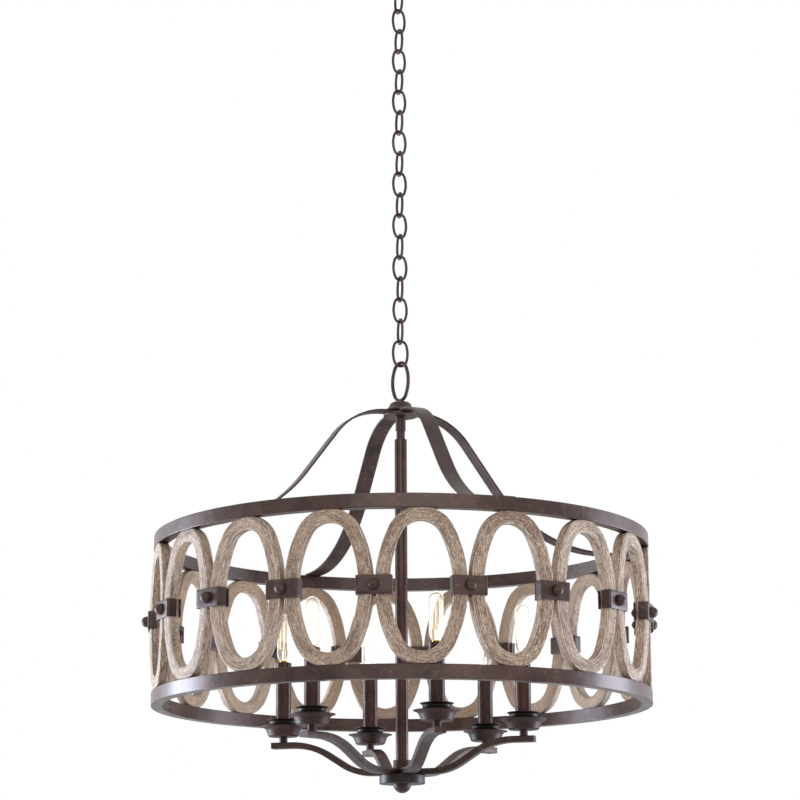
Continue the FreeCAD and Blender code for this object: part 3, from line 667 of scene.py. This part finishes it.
def storeGrain(mesh, stations, section, closed):
    # Each face corner knows how far along and how far round the bar it lies, without a jump inside a face
    alongs = runningLengths([place for place, u, v in stations])
    arounds = runningLengths(section + section[:1])
    values = []
    for face in mesh.polygons:
        spots = [divmod(vertex, len(section)) for vertex in face.vertices]
        rows, columns = zip(*spots)
        wrapRow = closed and max(rows) - min(rows) > 1
        wrapColumn = max(columns) - min(columns) > 1 and len(spots) == 4
        for row, column in spots:
            along = alongs[-1] + alongs[1] - alongs[0] if wrapRow and row == 0 else alongs[row]
            about = arounds[-1] if wrapColumn and column == 0 else arounds[column]
            values += [along, about, 0.0]
    mesh.attributes.new("grain", "FLOAT_VECTOR", "CORNER").data.foreach_set("vector", values)


def makeOvals():
    look = ovals
    section = easedSection(look["frame"], look["thick"], look)
    inset = look["frame"] / 2
    line = ovalLine((look["width"] / 2 - inset) * mm, (look["height"] / 2 - inset) * mm,
                    (look["endRadius"] - inset) * mm, look["step"] * mm)
    centre = Vector((look["plane"] * mm, 0, bandMiddle))
    stations = []
    for y, z, facing in line:
        outward = Vector((0, math.cos(facing), math.sin(facing)))
        stations.append((centre + Vector((0, y, z)), outward, Vector((1, 0, 0))))
    points, faces = sweptBar(stations, section, closed=True)
    reach = look["bandHeight"] / 2 * mm
    for point in points:
        point.z = min(bandMiddle + reach, max(bandMiddle - reach, point.z))
    mesh = meshOf("ovalBar", points, faces)
    storeGrain(mesh, stations, section, True)
    rimX, rimY = [(look[key] / 2 - look["ease"] * look["easeSeen"]) * mm for key in ("frame", "thick")]
    edge = [1.0 if abs(a) > rimX and abs(b) > rimY else 0.0 for a, b in section]
    inside = [1.0 if b < -rimY else 0.0 for a, b in section]
    for name, values in (("edge", edge), ("inside", inside)):
        mesh.attributes.new(name, "FLOAT", "POINT").data.foreach_set("value", values * len(stations))
    ringPiece("driftwoodOvals", mesh, look, 3.0, wood, "wood_ovals", 60.0)


makeOvals()
print("ovals made")


# Straps from the top hub to the top ring, and the arms from the bottom hub to the candles
straps = {
    "count": 4, "azimuth": 24.0, "width": 24.3, "thick": 3.0, "start": 12.25, "shoulder": 25.3,
    "landing": 324.3, "end": 345.0, "rise": -188.0, "straight": 78.0, "firstShare": 0.311,
    "ease": 0.7, "step": 6.0, "parts": (6, 1, 3), "dents": (0.25, 16.0, 16.0),
}
arms = {
    "count": 6, "azimuth": 15.6, "width": 17.0, "thick": 8.7, "start": 12.85, "shoulder": 45.0,
    "landing": 161.0, "end": 192.0, "rise": 41.6, "straight": 26.0, "firstShare": 0.43,
    "ease": 1.0, "step": 4.04, "parts": (4, 2, 3), "dents": (0.12, 14.0, 14.0), "mitreGap": 0.15,
}


def sLine(look, hubLevel):
    # Centre line that leaves the hub's level, bends, runs straight and bends back: x, z and its slope
    keys = ("start", "shoulder", "landing", "end", "rise", "straight", "step")
    start, shoulder, landing, end, rise, straight, step = [look[key] * mm for key in keys]
    level = hubLevel + rise
    side = 1 if rise > 0 else -1
    run = landing - shoulder
    total = (run ** 2 + rise ** 2 - straight ** 2) / (2 * abs(rise))
    first = total * look["firstShare"]
    second = total - first
    bend = math.atan2(run, total - abs(rise)) - math.atan2(straight, total)

    def onBend(x, z, radius, angle):
        return x + radius * math.sin(angle), z + side * radius * (1 - math.cos(angle)), side * angle

    def runTo(here, there):
        (x, z, slope), (endX, endZ, endSlope) = here, there
        count = max(1, round(math.hypot(endX - x, endZ - z) / step))
        return [(x + (endX - x) * i / count, z + (endZ - z) * i / count, slope) for i in range(count)]

    line = runTo((start, hubLevel, 0.0), (shoulder, hubLevel, 0.0))
    count = max(4, round(first * bend / step))
    line += [onBend(shoulder, hubLevel, first, bend * i / count) for i in range(count)]
    line += runTo(onBend(shoulder, hubLevel, first, bend), onBend(landing, level, -second, bend))
    count = max(4, round(second * bend / step))
    line += [onBend(landing, level, -second, bend * (1 - i / count)) for i in range(count)]
    line += runTo((landing, level, 0.0), (end, level, 0.0))
    return line + [(end, level, 0.0)]


def bentBar(name, look, hubLevel):
    # Flat bar that stands in the XZ plane with its width along Y
    section = easedSection(look["thick"], look["width"], look)
    stations = []
    for x, z, slope in sLine(look, hubLevel):
        upward = Vector((-math.sin(slope), 0, math.cos(slope)))
        stations.append((Vector((x, 0, z)), upward, Vector((0, 1, 0))))
    mesh = meshOf(name, *sweptBar(stations, section))
    storeGrain(mesh, stations, section, False)
    return mesh


def makeStraps():
    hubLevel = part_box("straps")[1].z - straps["thick"] / 2 * mm
    bar = bentBar("strapBar", straps, hubLevel)
    ringPiece("strapBars", bar, straps, 1.0, bronze, "straps")


def makeArms():
    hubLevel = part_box("arms")[0].z + arms["thick"] / 2 * mm
    bar = bentBar("armBar", arms, hubLevel)
    slope = math.tan(math.pi / arms["count"])
    for vertex in bar.vertices:    # mitre of the inner end
        vertex.co.x = max(vertex.co.x, abs(vertex.co.y) / slope + arms["mitreGap"] * mm)
    ringPiece("armBars", bar, arms, 2.0, bronze, "arms")


makeStraps()
makeArms()
print("straps and arms made")


# Clamps where two ovals meet: folded channel outside, plate inside, domed bolt with a nut through both
clamps = {
    "count": 18, "azimuth": -5.7, "height": 25.0, "thick": 2.0, "ease": 0.4, "parts": (6, 1, 2),
    "front": 361.8, "flange": 14.0, "halfWide": 23.87, "bend": 1.8, "sideSteps": 4,
    "plateSeat": 342.31, "plateWidth": 41.0, "plateSteps": 8, "dents": (0.22, 7.0, 7.0),
}
bolts = {
    "around": 28, "shank": 6.0, "tail": 1.5, "tip": 0.6, "head": 16.0, "headHeight": 9.6, "headRim": 1.6,
    "headEase": 0.3, "headSink": 0.01, "domeSteps": 6,
    "nutAround": 36, "nutFlats": 10.0, "nutHeight": 5.0, "nutBore": 6.2, "nutFace": 0.96, "nutCone": 0.12,
}


def clampPiece(name, points, faces, node, seed):
    mesh = meshOf(name, points, faces)
    places = [number for loop in mesh.loops for number in mesh.vertices[loop.vertex_index].co]
    mesh.attributes.new("grain", "FLOAT_VECTOR", "CORNER").data.foreach_set("vector", places)
    ringPiece(name + "s", mesh, clamps, seed, bronze, node, 38.0)


def makeChannels():
    look = clamps
    half = look["thick"] / 2
    side = (look["halfWide"] - half) * mm
    face = (look["front"] - half) * mm
    back = (look["front"] - look["flange"]) * mm
    bend = look["bend"] * mm
    steps = look["sideSteps"]
    quarter = math.pi / 2
    flange = [back + (face - bend - back) * i / steps for i in range(steps)]
    # x, y and the outward direction's angle, from one flange round to the other
    plan = [(x, -side, -quarter) for x in flange]
    plan += arcPoints((face - bend, bend - side), bend, -90, 90, steps)
    plan += [(face, (bend - side) * (1 - i / steps), 0.0) for i in range(1, 2 * steps)]
    plan += arcPoints((face - bend, side - bend), bend, 0, 90, steps)
    plan += [(x, side, quarter) for x in reversed(flange)]
    stations = []
    for x, y, angle in plan:
        outward = Vector((math.cos(angle), math.sin(angle), 0))
        stations.append((Vector((x, y, bandMiddle)), outward, Vector((0, 0, 1))))
    points, faces = sweptBar(stations, easedSection(look["thick"], look["height"], look))
    clampPiece("clampChannel", points, faces, "clamp_channels", 4.0)


def makeClampPlates():
    look = clamps
    middle = (look["plateSeat"] - look["thick"] / 2) * mm
    reach = look["plateWidth"] / 2 * mm
    steps = look["plateSteps"]
    stations = []
    for i in range(steps + 1):
        place = Vector((middle, reach * (2 * i / steps - 1), bandMiddle))
        stations.append((place, Vector((1, 0, 0)), Vector((0, 0, 1))))
    points, faces = sweptBar(stations, easedSection(look["thick"], look["height"], look))
    clampPiece("clampPlate", points, faces, "clamp_plates", 5.0)


def turned(outline, around):
    # Outline of radius and height, turned about Z and closed where it meets the axis
    points, rows, faces = [], [], []
    for radius, height in outline:
        if radius < 1e-7:
            rows.append([len(points)] * around)
            points.append((0, 0, height))
        else:
            rows.append(list(range(len(points), len(points) + around)))
            turns = [2 * math.pi * i / around for i in range(around)]
            points += [(radius * math.cos(turn), radius * math.sin(turn), height) for turn in turns]
    for low, high in zip(rows, rows[1:]):
        for i in range(around):
            j = (i + 1) % around
            ring = tuple(dict.fromkeys((low[i], low[j], high[j], high[i])))
            if len(ring) > 2:
                faces.append(ring)
    return points, faces


def hexNut(base):
    # Six flats with the corners turned back to a cone at both ends
    look = bolts
    around, height = look["nutAround"], look["nutHeight"]
    flat, bore = look["nutFlats"] / 2, look["nutBore"] / 2
    corner = flat / math.cos(math.radians(30))
    face, cone = flat * look["nutFace"], height * look["nutCone"]
    levels = ((bore, 0, False), (face, 0, False), (corner, cone, True), (corner, height - cone, True),
              (face, height, False), (bore, height, False))
    points = []
    for radius, level, isHex in levels:
        for i in range(around):
            turn = 2 * math.pi * i / around
            fromFlat = (turn + math.pi / 6) % (math.pi / 3) - math.pi / 6
            reach = min(radius, flat / math.cos(fromFlat)) if isHex else radius
            points.append((reach * math.cos(turn), reach * math.sin(turn), base + level))
    faces = []
    for row in range(len(levels)):
        here, ahead = row * around, (row + 1) % len(levels) * around
        for i in range(around):
            j = (i + 1) % around
            faces.append((here + i, here + j, ahead + j, ahead + i))
    return points, faces


def makeBolts():
    # Made upright in millimetres with the channel's face at zero, then laid down at the clamp
    look = bolts
    nutBase = clamps["plateSeat"] - clamps["thick"] - clamps["front"] - look["nutHeight"]
    tail = nutBase - look["tail"]
    shank, head = look["shank"] / 2, look["head"] / 2
    rise = look["headHeight"] - look["headRim"]
    domeRadius = (head ** 2 + rise ** 2) / (2 * rise)
    rim = math.degrees(math.atan2(domeRadius - rise, head))
    dome = arcPoints((0, look["headHeight"] - domeRadius), domeRadius, rim, 90 - rim, look["domeSteps"])
    seat = -look["headSink"]
    outline = [(0, tail), (shank - look["tip"], tail), (shank, tail + look["tip"]), (shank, seat),
               (head - look["headEase"], seat), (head, look["headEase"])]
    outline += [(radius, height) for radius, height, facing in dome]
    points, faces = turned(outline, look["around"])
    nutPoints, nutFaces = hexNut(nutBase)
    faces += [tuple(corner + len(points) for corner in face) for face in nutFaces]
    points += nutPoints
    placed = [((clamps["front"] + z) * mm, y * mm, bandMiddle - x * mm) for x, y, z in points]
    clampPiece("clampBolt", placed, faces, "clamp_bolts", 6.0)


makeChannels()
makeClampPlates()
makeBolts()
print("clamps made")


# Filament: one long wire that runs up and down inside each bulb, between the two support wires
filament = {
    "azimuth": 15.6, "runs": 8, "ringRadius": 7.3, "low": 17.0, "high": 56.0, "wire": 0.5, "bow": 0.4,
}


def makeFilaments():
    look = filament
    levels = [look["low"] + (look["high"] - look["low"]) * i / 3 for i in range(4)]
    swells = [look["ringRadius"] + bow for bow in (0, look["bow"], look["bow"], 0)]
    path = []
    for number in range(look["runs"]):
        angle = 2 * math.pi * (number + 0.5) / look["runs"]
        x, y = math.cos(angle) * mm, math.sin(angle) * mm
        run = [(swell * x, swell * y, level * mm) for swell, level in zip(swells, levels)]
        path += reversed(run) if number % 2 else run
    for number in range(1, bulbs["count"] + 1):
        turn = look["azimuth"] + 360 / bulbs["count"] * (number - 1) - 90
        low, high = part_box("bulb_%d_glass" % number)
        wirePiece("filament%d" % number, path, look["wire"], turn,
                  ((low.x + high.x) / 2, (low.y + high.y) / 2, low.z),
                  glow, "bulb_%d" % number, None, 80.0)


makeFilaments()
print("filaments made")
